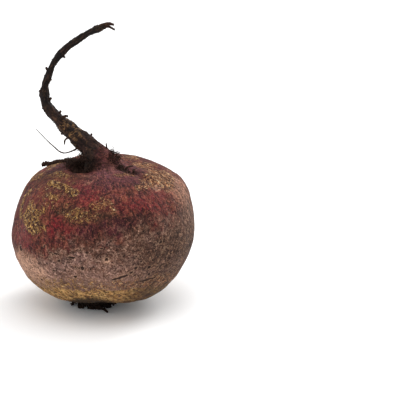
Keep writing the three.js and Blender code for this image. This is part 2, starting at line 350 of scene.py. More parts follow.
def patch(bearing, along, wide, tall, turn=0.0, soft=0.35, tear=0.35):
    """1 in an oval on the skin, 0 outside its ragged edge; half sizes in mm."""
    centre, aside, up_skin, outward = skin_place(bearing, along)
    from_centre = skin_points - centre
    across, upwards = from_centre @ aside, from_centre @ up_skin
    c, s = math.cos(math.radians(turn)), math.sin(math.radians(turn))
    reach = np.hypot((c * across + s * upwards) / wide, (c * upwards - s * across) / tall)
    reach += tear * ragged
    near = np.abs(from_centre @ outward) < 14
    return (1 - smoothstep(1 - soft, 1 + soft, reach)) * near * on_bulb


def strip(marks, width, soft=0.6, tear=0.2):
    """1 along a line over the skin through marks of bearing and mm along, 0 beside it."""
    knots = [skin_place(*mark)[0] for mark in marks]
    line = on_curve(knots, np.linspace(0, 1, 12 * len(knots)))
    near = np.linalg.norm(skin_points[:, None, :] - line[None, :, :], axis=-1).min(1)
    reach = near / width + tear * ragged
    return 1 - smoothstep(1 - soft, 1 + soft, reach)


def strongest(*masks):
    return np.clip(np.max(masks, axis=0), 0, 1)


def patches(*rows):
    """Ovals of one kind of mark; a row is a strength and then what patch takes."""
    return strongest(*[strength * patch(*oval) for strength, *oval in rows])


# Marks on the skin, each a value from 0 to 1 at its points. Net: tan corky threads where the
# skin cracked and healed
net = strongest(
    patches(
        (1, -142, 68.5, 8.4, 4.7, -20),
        (0.45, -134, 74, 3.6, 3.0),
        (0.42, -104, 73.5, 7.0, 3.2),
        (0.5, -90, 78.5, 4.2, 2.2),
        (1, -17, 87, 7.5, 6.5, 15),
        (0.85, -34, 87.5, 5.0, 3.6),
        (0.75, -50, 86, 4.0, 1.8),
        (1, -54, 97, 3.4, 1.3),
        (0.75, 162, 89, 4.5, 2.6),
        (0.5, 175, 82, 6.0, 3.0, 40),
    ),
    0.85 * strip([(-166, 77), (-168, 72), (-160, 66)], 1.6),
    strip([(-150, 86.5), (-131.8, 86.8), (-112, 84)], 1.7, soft=0.4),
    0.6 * strip([(-138, 80.4), (-124, 79.6)], 1.0),
    0.5 * strip([(-88, 82), (-82, 79), (-80, 75.5)], 1.1),
    0.7 * strip([(-66, 97.5), (-52, 96.5), (-40, 94.5)], 1.1),
    0.2 * patch(-136, 80, 13.0, 8.0, soft=0.9, tear=0.6),
    0.4 * patch(-152, 92, 8.0, 3.0, soft=0.7, tear=0.6),
)
# Blush: thin skin that the red flesh shows through
blush = patches(
    (1, -117.5, 68.2, 4.6, 4.6),
    (0.8, -98, 81.5, 5.0, 3.8),
    (0.6, -104, 87, 7.0, 3.0),
    (0.6, -150, 58.5, 8.0, 5.0),
    (0.55, -150, 77, 4.5, 6.0),
    (0.6, -128, 77, 6.0, 2.6),
    (0.6, -63, 77.5, 6.5, 3.4),
    (0.65, -45, 74.5, 5.0, 4.0),
    (0.55, -50, 66, 2.6, 5.0, -20),
    (0.7, -108, 66, 4.0, 2.6),
    (0.4, -38, 79.5, 9.0, 2.4),
    (0.4, -44, 69, 7.0, 4.0),
)
# Murk: brown stains that soil has left, and one patch of painted shade low on the right side
murk_and_shade = strongest(
    patches(
        (0.9, -83, 72, 5.4, 3.4),
        (0.6, -66, 68.5, 6.5, 5.0),
        (0.75, -117, 75.5, 5.0, 3.2),
        (0.5, -103, 73, 8.0, 4.0),
        (0.55, -16.6, 80.6, 3.0, 2.4),
        (0.45, -27.4, 93.9, 4.2, 3.4),
        (0.5, -96, 64, 9.0, 2.6),
        (0.6, 176, 95, 5.0, 4.5),
        # painted shade on the lower right side
        (0.35, -29, 50, 6.0, 12.0),
        (0.5, -10, 96, 10.0, 2.0),
    ),
    0.7 * strip([(-60, 68), (-58.5, 63)], 1.8),
    0.5 * patch(-120, 96, 7.0, 3.0, soft=0.7),
    0.7 * patch(-168, 89, 6.0, 6.0, soft=0.7),
)
# Plum: the darkest purple of the skin, and painted shade on the shoulder left of the pocket, under
# the leaning taproot
# Painted shade: the shoulder left of the pocket, darkened to plum
shaded_left_shoulder = np.hypot((skin_points[:, 0] + 17) / 9, skin_points[:, 1] / 6)
shaded_left_shoulder = (1 - smoothstep(0.4, 1.2, shaded_left_shoulder)) * (skin_points[:, 2] > 52) * on_bulb
plum_and_shade = strongest(
    patches(
        (0.9, -80, 69, 6.0, 4.0),
        (0.6, -98, 67, 5.0, 3.4),
        (0.5, -62, 71, 5.0, 3.0),
        (0.5, -120, 84, 8.0, 3.0),
        (0.7, 60, 74, 9.0, 5.0),
        (0.6, 120, 70, 8.0, 6.0),
    ),
    0.6 * patch(-70, 92, 14.0, 4.0, soft=0.8),
    0.9 * shaded_left_shoulder,
)
# Pits: small scars and short cracks, darker and deeper than the skin
PITS = [  # bearing, mm along the skin, half width and height in mm, turn in degrees
    (-152.6, 52.5, 1.35, 1.08, 0), (-118, 55.9, 0.94, 0.43, 0), (-122, 56.1, 0.73, 0.43, 0),
    (-116.1, 53, 0.73, 0.65, 40), (-107.4, 55.4, 1.77, 0.49, -10), (-100.6, 50.7, 0.52, 1.08, 0),
    (-106.1, 45.9, 0.83, 0.54, 0), (-137.7, 39.4, 0.83, 0.54, -30), (-128, 36.2, 0.73, 0.65, 0),
    (-63.2, 52.6, 0.62, 0.54, 0), (-57.7, 49.1, 0.94, 0.54, 0), (-56.3, 45.1, 0.73, 0.65, 0),
    (-49.5, 59.5, 1.04, 0.59, 20), (-26.4, 49.2, 0.62, 0.65, 0), (-66.6, 49.8, 1.04, 0.54, 30),
    (-69.8, 47.8, 0.83, 0.54, 0), (-85.7, 54.9, 0.83, 0.65, 0), (-13.3, 67.9, 1.04, 0.65, 0),
]
pits = strongest(
    *[patch(*place, wide, tall, turn, tear=0.1) for *place, wide, tall, turn in PITS],
    0.5 * (patch(-33.5, 83.2, 2.6, 1.3) - 0.9 * patch(-33.5, 83.2, 1.7, 0.65)),
    strip([(-82.5, 44.8), (-79.5, 45.2), (-77.6, 45.6), (-72.6, 46.6)], 0.5, tear=0.15),
    strip([(-62, 41.5), (-56.1, 42), (-49.7, 42.6)], 0.45, tear=0.1),
)
# Pale: dry spots rubbed light and the lips of cracks, and painted light: light rims low on the left
# and high on the right, and a thin highlight line in front of the pocket
pale_and_painted_light = strongest(
    patches(
        (0.95, -149, 44, 12.0, 7.5),
        (0.9, -140, 37.5, 11.0, 6.5),
        (0.8, -170, 39, 10.0, 7.5),
        (0.2, -108, 97.0, 4.0, 1.2),
        (0.8, -34.5, 81.8, 2.6, 0.6),
        (0.8, -31, 84.2, 1.4, 0.8),
        (0.3, -104, 91.6, 2.4, 0.8, 50),
        (0.9, -85.7, 54.9, 1.9, 1.6),
    ),
    0.75 * patch(-9, 76, 8.5, 7.0, soft=0.9, tear=0.5),
    0.12 * patch(-4, 64, 9.0, 9.0, soft=0.9, tear=0.5),
    0.6 * strip([(-81, 46.2), (-77, 46.6), (-72.6, 47.5)], 0.45),
    0.3 * patch(-60, 103, 6.0, 4.0, soft=0.9),
)

# The far side, which has the same kinds of marks at places drawn by a seeded rule
FAR_NETS, FAR_BLUSHES, FAR_STAINS, FAR_PITS, NEAR_TICKS = 14, 10, 8, 46, 60
far = np.random.default_rng(12)
draw = far.uniform
for _ in range(FAR_NETS):
    bearing, along = draw(5, 175), draw(62, 96)
    for _ in range(4):
        spot = patch(
            bearing + far.normal(0, 7), along + far.normal(0, 3), draw(1.5, 4.5),
            draw(1.0, 3.0), turn=draw(-60, 60), soft=0.6, tear=0.6,
        )
        net = strongest(net, draw(0.35, 0.95) * spot)
bearing_degrees = (np.degrees(skin_bearing) + 180) % 360 - 180
CORK_EDGE = [  # bearing in degrees, mm along the skin where the corky crown ends
    (-180, 31), (-145, 32), (-115, 37), (-80, 38), (-50, 37), (-25, 33), (10, 32), (90, 38),
    (180, 31),
]
cork_edge = np.interp(bearing_degrees, *zip(*CORK_EDGE))
net = strongest(net, 0.5 * bell(skin_along - cork_edge - 2 * ragged, 3, 4))
for _ in range(FAR_BLUSHES):
    spot = patch(draw(5, 175), draw(56, 90), draw(4, 8), draw(3, 6), turn=draw(-40, 40))
    blush = strongest(blush, draw(0.5, 0.9) * spot)
for _ in range(FAR_STAINS):
    spot = patch(draw(5, 175), draw(56, 92), draw(4, 8), draw(2, 5))
    murk_and_shade = strongest(murk_and_shade, draw(0.4, 0.8) * spot)
for _ in range(FAR_PITS):
    place = draw(-20, 200), draw(30, 70), draw(0.5, 1.3), draw(0.4, 0.7), draw(-60, 60)
    pits = strongest(pits, patch(*place, tear=0.1))
for _ in range(NEAR_TICKS):  # small ticks in the near side's dusty skin
    place = draw(-165, -15), draw(36, 62), draw(0.4, 0.8), draw(0.3, 0.45), draw(-50, 50)
    pits = strongest(pits, draw(0.5, 0.9) * patch(*place, tear=0.1))

# The dusty lower skin: bearing in degrees, mm along the skin of its upper edge
DUST_EDGE = [
    (-180, 48), (-165, 48), (-150, 50.5), (-130, 55.5), (-117, 59), (-98, 62), (-86, 64),
    (-75, 66.5), (-62, 69), (-42, 69), (-18, 71), (20, 64), (60, 56), (110, 60), (150, 55),
    (180, 48),
]
dust_edge = np.interp(bearing_degrees, *zip(*DUST_EDGE)) + 5 * ragged
dust = 1 - smoothstep(-6.5, 6.0, skin_along - dust_edge)
# Where on the root the other finishes lie, from tip to crown, and where shade is painted on
flecked = bell(skin_along, taproot_start + 16, 6)
blackened = smoothstep(taproot_start + 20, taproot_start + 34, skin_along)
low = 1 - smoothstep(42, 60, skin_along + 2 * ragged)
cork = (1 - smoothstep(-2, 2, skin_along - cork_edge - 3.2 * ragged)) * on_bulb
in_furrow = strip([(-38, 103), (-40, 100), (-38, 97)], 2.6)
leftward = -np.cos(skin_bearing)
bark = smoothstep(taproot_start - 6, taproot_start + 5, skin_along + 4 * leftward + 2.5 * ragged)
to_right = smoothstep(-90, -46, bearing_degrees) * (1 - smoothstep(30, 60, bearing_degrees))
neck_veil = bell(skin_along - 2 * ragged, neck_start - 1, 9)
neck_veil *= smoothstep(-128, -92, bearing_degrees) * (1 - smoothstep(-25, 10, bearing_degrees))
# Painted shade: the lower right side of the bulb, darkened as if in shadow
shade = to_right * (1 - smoothstep(52, 82, skin_along)) * (0.85 + 0.25 * ragged)
# Painted shade and soil: the pocket beside the taproot's foot, blackened
beside_foot = np.hypot((skin_points[:, 0] + 7.6) / 6.2, (skin_points[:, 1] + 3.0) / 6.8)
beside_foot = 1 - smoothstep(0.6, 1.4, beside_foot + 0.3 * ragged)
beside_foot *= (skin_points[:, 2] > 40) * (1 - smoothstep(66, 70, skin_points[:, 2]))
# Painted shadow and soil on the underside round the tuft, reaching furthest on the near side
from_tuft = np.hypot(skin_points[:, 0] + BULB_ASIDE[0], skin_points[:, 1] + BULB_ASIDE[1])
tuft_soil_and_shadow_reach = 14.5 + 11.5 * bell(bearing_degrees, -102, 30)
soil_and_shadow_round_tuft = 1 - smoothstep(-3.4, 3.0, from_tuft - tuft_soil_and_shadow_reach + 3.4 * ragged)
soil_and_shadow_round_tuft *= skin_points[:, 2] < 16
# Blackened: soil and painted shade in the pocket, the furrow and round the tuft
soil_and_painted_shade = strongest(beside_foot, 0.15 * in_furrow, 0.9 * soil_and_shadow_round_tuft)

healed = NET_RISE * net - PIT_DEPTH * pits
skin_points += skin_normals() * (healed * on_bulb)[:, None]
moved = ((skin_points + BULB_ASIDE) * MM).astype(np.float32)
beet.data.vertices.foreach_set("co", moved.ravel())
beet.data.update()

SKIN_MARKS = {
    "net": net,
    "blush": blush,
    "murk_and_shade": murk_and_shade,
    "plum_and_shade": plum_and_shade,
    "pits": pits,
    "pale_and_painted_light": pale_and_painted_light,
    "dust": dust,
    "cork": cork,
    "soil_and_painted_shade": soil_and_painted_shade,
    "low": low,
    "shade": shade,
    "bark": bark,
    "flecked": flecked,
    "blackened": blackened,
    "neck_veil": neck_veil,
}
for mark, values in SKIN_MARKS.items():
    layer = beet.data.attributes.new(mark, "FLOAT", "POINT")
    layer.data.foreach_set("value", values.astype(np.float32))
grain_layer = beet.data.attributes.new("grain_place", "FLOAT_VECTOR", "POINT")
grain_layer.data.foreach_set("vector", grain_place.astype(np.float32).ravel())


def colour(red, green, blue):
    """A colour as 0 to 255 on the screen, as the shader's linear one."""
    parts = [v / 255 for v in (red, green, blue)]
    linear = [v / 12.92 if v <= 0.04045 else ((v + 0.055) / 1.055) ** 2.4 for v in parts]
    return (*linear, 1.0)


def put(tree, kind, sockets=None, **settings):
    """A shader node; sockets are values or outputs of other nodes, by name or number."""
    node = tree.nodes.new(kind)
    for key, value in settings.items():
        setattr(node, key, value)
    for key, value in (sockets or {}).items():
        if isinstance(value, bpy.types.NodeSocket):
            tree.links.new(value, node.inputs[key])
        else:
            node.inputs[key].default_value = value
    return node


def arithmetic(tree, operation, a, b=0.0):
    return put(tree, "ShaderNodeMath", {0: a, 1: b}, operation=operation).outputs[0]


def blend(tree, share, under, over, kind="MIX"):
    """A colour laid over another by a share from 0 to 1."""
    sockets = {0: share, 6: under, 7: over}
    settings = {"data_type": "RGBA", "blend_type": kind, "clamp_factor": True}
    return put(tree, "ShaderNodeMix", sockets, **settings).outputs[2]


def spread(tree, value, low, high, to_low=0.0, to_high=1.0):
    """A value between low and high, eased to run between two others."""
    sockets = {0: value, 1: low, 2: high, 3: to_low, 4: to_high}
    node = put(tree, "ShaderNodeMapRange", sockets, interpolation_type="SMOOTHSTEP")
    return node.outputs[0]


def speckle(tree, place, size, detail=3.0, twist=0.0):
    """Noise with lumps of a size in mm, on places in mm."""
    sockets = {"Vector": place, "Scale": 1 / size, "Detail": detail, "Roughness": 0.55,
               "Distortion": twist}
    return put(tree, "ShaderNodeTexNoise", sockets).outputs[0]


def stretch(tree, place, x, y, z, shift=0.0):
    sockets = {"Vector": place, "Scale": (x, y, z), "Location": (shift, shift, shift)}
    return put(tree, "ShaderNodeMapping", sockets).outputs[0]


def group_of(name, inputs, outputs):
    """An empty shader node group with named inputs and outputs."""
    group = bpy.data.node_groups.new(name, "ShaderNodeTree")
    for label, kind, value in inputs:
        socket = group.interface.new_socket(label, in_out="INPUT", socket_type=kind)
        if value is not None:
            socket.default_value = value
    for label, kind in outputs:
        group.interface.new_socket(label, in_out="OUTPUT", socket_type=kind)
    return group, group.nodes.new("NodeGroupInput"), group.nodes.new("NodeGroupOutput")


# Squiggles: thin curling strokes where a smooth noise crosses its middle value, broken up
squiggles, given, result = group_of(
    "Squiggles",
    [("Place", "NodeSocketVector", None), ("Size", "NodeSocketFloat", 1.5),
     ("Width", "NodeSocketFloat", 0.05), ("Broken", "NodeSocketFloat", 0.5)],
    [("Stroke", "NodeSocketFloat")],
)
per_loop = arithmetic(squiggles, "DIVIDE", 1.0, given.outputs["Size"])
loops = put(squiggles, "ShaderNodeTexNoise",
            {"Vector": given.outputs["Place"], "Scale": per_loop, "Detail": 1.0,
             "Roughness": 0.5, "Distortion": 1.2})
from_middle = arithmetic(squiggles, "ABSOLUTE",
                         arithmetic(squiggles, "SUBTRACT", loops.outputs[0], 0.5))
stroke = spread(squiggles, from_middle, 0.0, given.outputs["Width"], 1.0, 0.0)
breaks = put(squiggles, "ShaderNodeTexNoise",
             {"Vector": given.outputs["Place"], "Scale": per_loop, "Detail": 0.0})
broken_end = arithmetic(squiggles, "ADD", given.outputs["Broken"], 0.1)
whole = spread(squiggles, breaks.outputs[0], given.outputs["Broken"], broken_end)
stroke = arithmetic(squiggles, "MULTIPLY", stroke, whole)
squiggles.links.new(stroke, result.inputs["Stroke"])


def start_finish(name):
    """A new material, its shader tree and the place on the piece in mm."""
    finish = bpy.data.materials.new(name)
    finish.use_nodes = True
    tree = finish.node_tree
    tree.nodes.clear()
    metres = put(tree, "ShaderNodeTexCoord").outputs["Object"]
    sockets = {0: metres, "Scale": 1 / MM}
    place = put(tree, "ShaderNodeVectorMath", sockets, operation="SCALE").outputs[0]
    return finish, tree, place


def end_finish(tree, base, roughness, specular, height, strength, depth):
    """A dull surface whose relief is a height from 0 to 1 over a depth in mm."""
    sockets = {"Height": height, "Strength": strength, "Distance": depth * MM}
    bump = put(tree, "ShaderNodeBump", sockets)
    sockets = {"Base Color": base, "Roughness": roughness, "Specular IOR Level": specular,
               "Normal": bump.outputs[0]}
    shader = put(tree, "ShaderNodeBsdfPrincipled", sockets)
    put(tree, "ShaderNodeOutputMaterial", {"Surface": shader.outputs[0]})


beet_skin, tree, place = start_finish("beetroot_skin")
mask = {
    name: put(tree, "ShaderNodeAttribute", attribute_name=name).outputs["Fac"]
    for name in SKIN_MARKS
}
grain = put(tree, "ShaderNodeAttribute", attribute_name="grain_place").outputs["Vector"]
long_grain = stretch(tree, grain, 1.0, 1.0, 0.4)

BLUSH_RED = colour(110, 15, 26)
MURK_AND_SHADE_BROWN = colour(62, 38, 26)
PLUM_AND_SHADE = colour(66, 22, 34)
big = speckle(tree, place, 9)
middling = speckle(tree, place, 3.2, twist=0.5)
small = speckle(tree, place, 1.3, detail=4)


# Short forms for the finish that is being mixed, whose nodes go into tree
def strokes(where, size, width, broken, shift=0.0, cross=1.0):
    """Squiggles on a place in mm, moved by a shift so that no two layers match."""
    moved = stretch(tree, where, cross, cross, 1.0, shift)
    sockets = {"Place": moved, "Size": size, "Width": width, "Broken": broken}
    return put(tree, "ShaderNodeGroup", sockets, node_tree=squiggles).outputs["Stroke"]


def times(a, b):
    return arithmetic(tree, "MULTIPLY", a, b)


def plus(a, b):
    return arithmetic(tree, "ADD", a, b)


def stronger(a, b):
    return arithmetic(tree, "MAXIMUM", a, b)


def centred(noise_value, reach):
    """A noise about 0, whose swing is a reach to both sides."""
    return times(arithmetic(tree, "SUBTRACT", noise_value, 0.5), reach)


light_strokes = strokes(long_grain, 1.6, 0.08, 0.5, 3.1)
light_curls = strokes(place, 1.6, 0.08, 0.45, 9.7)
dark_strokes = strokes(long_grain, 1.7, 0.09, 0.48, 17.9)
dark_curls = strokes(place, 1.7, 0.09, 0.46, 31.3)
threads = strokes(place, 1.6, 0.07, 0.34, 5.7)
cross_threads = strokes(place, 1.2, 0.06, 0.44, 41.7)
all_threads = stronger(threads, times(cross_threads, 0.85))
grit = spread(tree, speckle(tree, place, 1.05, detail=1.5, twist=1.4), 0.38, 0.62)

# The bare skin: purple-brown, blotched darker and tanner, then red, soiled and plum
base = blend(tree, spread(tree, big, 0.35, 0.65), colour(98, 38, 36), colour(109, 48, 41))
base = blend(tree, spread(tree, middling, 0.42, 0.66), base, colour(70, 27, 31))
base = blend(tree, times(spread(tree, middling, 0.52, 0.36), 0.6), base, colour(98, 54, 37))
red_share = times(mask["blush"], spread(tree, middling, 0.2, 0.6, 0.6, 1.0))
base = blend(tree, red_share, base, BLUSH_RED)
murk_and_shade_share = times(mask["murk_and_shade"], spread(tree, middling, 0.2, 0.6, 0.55, 1.0))
base = blend(tree, murk_and_shade_share, base, MURK_AND_SHADE_BROWN)
plum_and_shade_share = times(mask["plum_and_shade"], spread(tree, middling, 0.2, 0.6, 0.6, 1.0))
base = blend(tree, plum_and_shade_share, base, PLUM_AND_SHADE)

# Dry dust over the lower half, through which the strongest patches still show
lower_down = spread(tree, mask["low"], 0.0, 1.0)
dusty = blend(tree, lower_down, colour(84, 54, 43), colour(140, 105, 93))
dusty = blend(tree, spread(tree, middling, 0.42, 0.64), dusty, colour(116, 80, 66))
dusty = blend(tree, times(spread(tree, big, 0.52, 0.66), 0.6), dusty, colour(118, 88, 82))
dust_break = plus(mask["dust"], centred(small, 1.3))
base = blend(tree, spread(tree, dust_break, 0.15, 0.9), base, dusty)
base = blend(tree, times(murk_and_shade_share, 0.55), base, MURK_AND_SHADE_BROWN)
base = blend(tree, times(plum_and_shade_share, 0.6), base, colour(66, 20, 32))
base = blend(tree, times(red_share, 0.35), base, colour(110, 22, 30))
# Pale dry spots and crack lips, with the painted light of the rims and the highlight line
pale_and_light_share = times(mask["pale_and_painted_light"], spread(tree, small, 0.3, 0.6, 0.45, 1.0))
base = blend(tree, pale_and_light_share, base, colour(192, 148, 122))

# The corky crown: tan, with dark spots and scars round the seat
corky = blend(tree, spread(tree, middling, 0.4, 0.62), colour(214, 170, 106), colour(184, 134, 74))
corky = blend(tree, spread(tree, small, 0.49, 0.6, 0.0, 0.9), corky, colour(66, 40, 23))
grain_parts = put(tree, "ShaderNodeSeparateXYZ", {0: grain}).outputs
along_skin = grain_parts["Z"]
scar_place = plus(times(along_skin, 1.5), times(middling, 9))
scar = spread(tree, arithmetic(tree, "SINE", scar_place), 0.7, 1.0)
scar = times(scar, spread(tree, along_skin, 20, 34, 0.7, 0.0))
corky = blend(tree, scar, corky, colour(62, 38, 24))
corky_break = plus(mask["cork"], centred(small, 1.6))
base = blend(tree, spread(tree, corky_break, 0.3, 0.7), base, corky)
# Painted shade: the lower right side darkened towards a dark brown
base = blend(tree, times(mask["shade"], 0.95), base, colour(55, 33, 22))
veil_share = times(mask["neck_veil"], spread(tree, middling, 0.25, 0.6, 0.55, 0.85))
base = blend(tree, veil_share, base, colour(104, 60, 68))

# Light and dark strokes, the fine fibres of the skin, fewer where dust lies over them
on_dust = spread(tree, mask["dust"], 0.2, 1.0, 0.55, 1.0)
dust_curls = times(strokes(place, 1.3, 0.08, 0.4, 23.3), mask["dust"])
light_strokes_here = times(light_strokes, spread(tree, mask["dust"], 0, 1, 1.0, 0.3))
light_lines = stronger(light_strokes_here, light_curls)
light_share = times(stronger(light_lines, dust_curls),
                    spread(tree, middling, 0.3, 0.6, 0.4, 1.0))
stroke_light = blend(tree, mask["dust"], colour(146, 89, 66), colour(156, 127, 111))
# The light strokes turn browner in the painted shade
stroke_light = blend(tree, mask["shade"], stroke_light, colour(134, 102, 78))
light_share = times(light_share, spread(tree, mask["cork"], 0, 1, 1.0, 0.4))
base = blend(tree, times(light_share, on_dust), base, stroke_light, kind="ADD")
fine_fibres = strokes(long_grain, 1.0, 0.06, 0.5, 61.3, 1.5)
off_dust = spread(tree, mask["dust"], 0.2, 1.0, 0.75, 0.2)
off_dust = times(off_dust, spread(tree, mask["plum_and_shade"], 0, 1, 1.0, 0.3))
base = blend(tree, times(fine_fibres, off_dust), base, colour(128, 82, 61), kind="ADD")
fewer_on_dust = spread(tree, mask["dust"], 0.2, 1.0, 1.0, 0.35)
dark_lines = stronger(times(dark_strokes, fewer_on_dust), dark_curls)
dark_share = times(dark_lines, spread(tree, big, 0.3, 0.55, 0.5, 0.95))
base = blend(tree, times(dark_share, 0.95), base, colour(84, 70, 66), kind="MULTIPLY")
between_grit = spread(tree, grit, 0, 1, 0.55, 0.0)
base = blend(tree, between_grit, base, colour(120, 112, 108), kind="MULTIPLY")

# The corky net: light threads on a dark ground
net_break = plus(centred(middling, 0.9), centred(grit, 0.35))
net_break = times(net_break, spread(tree, mask["net"], 0, 0.2))
net_here = plus(mask["net"], net_break)
net_ground = times(spread(tree, net_here, 0.1, 0.9), 0.8)
base = blend(tree, net_ground, base, colour(52, 27, 18))
net_thread = times(spread(tree, net_here, 0.05, 0.65), all_threads)
to_the_right = spread(tree, grain_parts["X"], -16, 14)
net_colour = blend(tree, to_the_right, colour(230, 176, 98), colour(220, 156, 108))
worn = spread(tree, small, 0.48, 0.62, 0.0, 0.75)
net_colour = blend(tree, worn, net_colour, colour(138, 86, 52))
bright = spread(tree, small, 0.47, 0.36, 0.0, 0.8)
net_colour = blend(tree, bright, net_colour, colour(236, 206, 160))
base = blend(tree, net_thread, base, net_colour)
# The pits: nearly black, with a light lip
pit_lip = times(spread(tree, mask["pits"], 0.04, 0.25),
                spread(tree, mask["pits"], 0.25, 0.5, 1.0, 0.0))
base = blend(tree, pit_lip, base, colour(122, 98, 80), kind="ADD")
pit_break = plus(mask["pits"], centred(grit, 0.5))
base = blend(tree, times(spread(tree, pit_break, 0.25, 0.6), 0.92), base, colour(34, 19, 15))

# The taproot's bark, and blackish soil and painted shade in the pocket by its foot, in the furrow
# and round the tuft
root_bark = blend(tree, spread(tree, big, 0.4, 0.6), colour(22, 12, 10), colour(40, 23, 19))
root_bark = blend(tree, times(mask["blackened"], 0.75), root_bark, colour(12, 9, 8))
root_bark = blend(tree, times(light_strokes, 0.55), root_bark, colour(88, 62, 49), kind="ADD")
bark_cracks = stronger(dark_strokes, dark_curls)
root_bark = blend(tree, times(bark_cracks, 0.9), root_bark, colour(7, 5, 4))
fleck = times(all_threads, spread(tree, middling, 0.46, 0.6))
fleck = times(fleck, spread(tree, mask["flecked"], 0, 1, 0.1, 1.0))
root_bark = blend(tree, times(fleck, 0.9), root_bark, colour(150, 112, 72))
base = blend(tree, mask["bark"], base, root_bark)
soil_and_shade_black = blend(tree, spread(tree, small, 0.42, 0.6), colour(10, 6, 4), colour(40, 26, 17))
base = blend(tree, mask["soil_and_painted_shade"], base, soil_and_shade_black)

# Relief too fine for the mesh
height = times(small, 0.6)
height = plus(height, times(dark_share, -0.5))
height = plus(height, times(light_share, 0.3))
height = plus(height, times(net_thread, 0.8))
smoother_where_red = spread(tree, mask["blush"], 0, 1, 0.74, 0.55)
end_finish(tree, base, smoother_where_red, specular=0.16, height=height, strength=0.95, depth=0.5)
beet.data.materials.append(beet_skin)
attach(beet, "root")
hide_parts("beetroot")


# The rootlets: thin dark side roots, tough and dry, most of them broken short. They grow out of
# the taproot and the furrow, and one lies over the far left shoulder to a broken knob.
def tube(knots, thick, thin, sides=7, step=0.5, gnarl=0.25, seed=0):
    """Rings of points for a thin gnarled root through knots, thick at its foot."""
    knots = np.asarray(knots, float)
    length = np.linalg.norm(np.diff(knots, axis=0), axis=1).sum()
    count = max(4, round(length / step))
    shares = np.linspace(0, 1, count)
    line = on_curve(knots, shares)
    ways = np.gradient(line, axis=0)
    ways /= np.linalg.norm(ways, axis=1, keepdims=True)
    side = np.cross(ways[0], [0.3, 0.9, 0.2])
    rings = []
    for share, middle, way in zip(shares, line, ways):
        side = side - way * (side @ way)
        side /= np.linalg.norm(side)
        other = np.cross(way, side)
        turns = bearings(sides)
        girth = thick + (thin - thick) * share
        lump = [noise.noise(Vector((share * length, seed * 7.1, t))) for t in turns]
        reach = girth * (1 + gnarl * np.array(lump) * 2)
        rings.append(middle + (side * np.cos(turns)[:, None] + other * np.sin(turns)[:, None])
                     * reach[:, None])
    points = np.vstack([*rings, line[0], line[-1]])
    return points, ring_faces([sides] * count)


def join_tubes(tubes):
    points, faces, start = [], [], 0
    for tube_points, tube_faces in tubes:
        points.append(tube_points)
        faces += [tuple(start + v for v in face) for face in tube_faces]
        start += len(tube_points)
    return np.vstack(points), faces


def source_random(seed):
    """The same repeatable stream of numbers that the solids' rootlets were placed by."""
    state = seed
    while True:
        state = (state * 1664525 + 1013904223) % 4294967296
        yield state / 4294967296


SIDE_ROOT = [
    (-5.4, 2, 63), (-13.1, 7.6, 62.8), (-18.2, 11, 61.4), (-23.3, 13.6, 59.6), (-27.4, 15.4, 58.6),
]
thick_rootlets = [
    tube([(0.2, -5, 125.3), (3.5, -5.8, 126.7), (6, -6.6, 126.5)], 1.05, 0.5, seed=1),
    tube([(0.2, -5, 125), (3.6, -5, 125.3), (6.3, -5.6, 124)], 0.85, 0.4, seed=2),
    tube([(-8.5, 0, 72), (-12.2, -3, 70.5), (-17.1, -3.8, 69.5), (-21.6, -3.4, 72.9),
          (-25, -2.9, 76.2), (-28.4, -2.4, 79.8)], 0.42, 0.15, seed=3),
    tube([(-12.8, 0.4, 76.4), (-15.8, -2, 75), (-16.3, -2, 72.7)], 0.6, 0.3, seed=4),
    tube([(0.6, -1.6, 67), (1.8, -2.2, 71), (1.7, -2.6, 73.4)], 0.7, 0.3, seed=5),
    tube([(-18.6, 2, 82.6), (-15.9, -0.6, 85), (-14.6, -1, 85.1)], 0.8, 0.5, seed=6),
    tube(SIDE_ROOT, 0.8, 1.0, sides=12, step=0.35, gnarl=0.45, seed=7),
]
ROW_COUNT = 9  # of broken rootlets in the two rows along the taproot
FURROW_COUNT = 8
row_random = source_random(7)
for i in range(ROW_COUNT):
    share = 0.2 + 0.6 * (i + 0.8 * next(row_random)) / ROW_COUNT
    here = on_curve(TAPROOT, share)[0]
    way = on_curve(TAPROOT, share + 0.004)[0, :3] - on_curve(TAPROOT, share - 0.004)[0, :3]
    way /= np.linalg.norm(way)
    outwards = np.array([way[2], 0, -way[0]]) * (1 if i % 2 == 0 else -1)
    outwards[1] = (next(row_random) - 0.5) * 1.6
    outwards /= np.linalg.norm(outwards)
    length = here[3] + 0.5 + 1.6 * next(row_random) * next(row_random)
    slant = 1.6 * (next(row_random) - 0.2)
    middle = here[:3] + outwards * 0.6 * length
    end = here[:3] + outwards * length + way * slant
    thick_rootlets.append(tube([here[:3], middle, end], 0.85, 0.4, step=0.35, seed=20 + i))
furrow_random = source_random(23)
for i in range(FURROW_COUNT):
    out = 6.4 + i * 1.3
    turn = ROOT_ROW_BEARING + (next(furrow_random) - 0.5) * 0.3
    heading = ROOT_ROW_BEARING + (1 if i % 2 == 0 else -1) * (0.5 + next(furrow_random))
    reach = 1.6 + 1.4 * next(furrow_random)
    drop = 0.2 * max(0, out - 8)
    foot = np.array([out * math.cos(turn), out * math.sin(turn), 61 - drop])
    ahead = np.array([math.cos(heading), math.sin(heading), 0])
    middle = foot + 0.5 * reach * ahead
    middle[2] = 63.4 - drop + next(furrow_random)
    tip = middle + reach * ahead
    tip[2] = middle[2] + 1.4 * (next(furrow_random) - 0.35)
    thick_rootlets.append(tube([foot, middle, tip], 0.6, 0.25, step=0.35, seed=40 + i))
rootlets = grow("rootlets", *join_tubes(thick_rootlets))

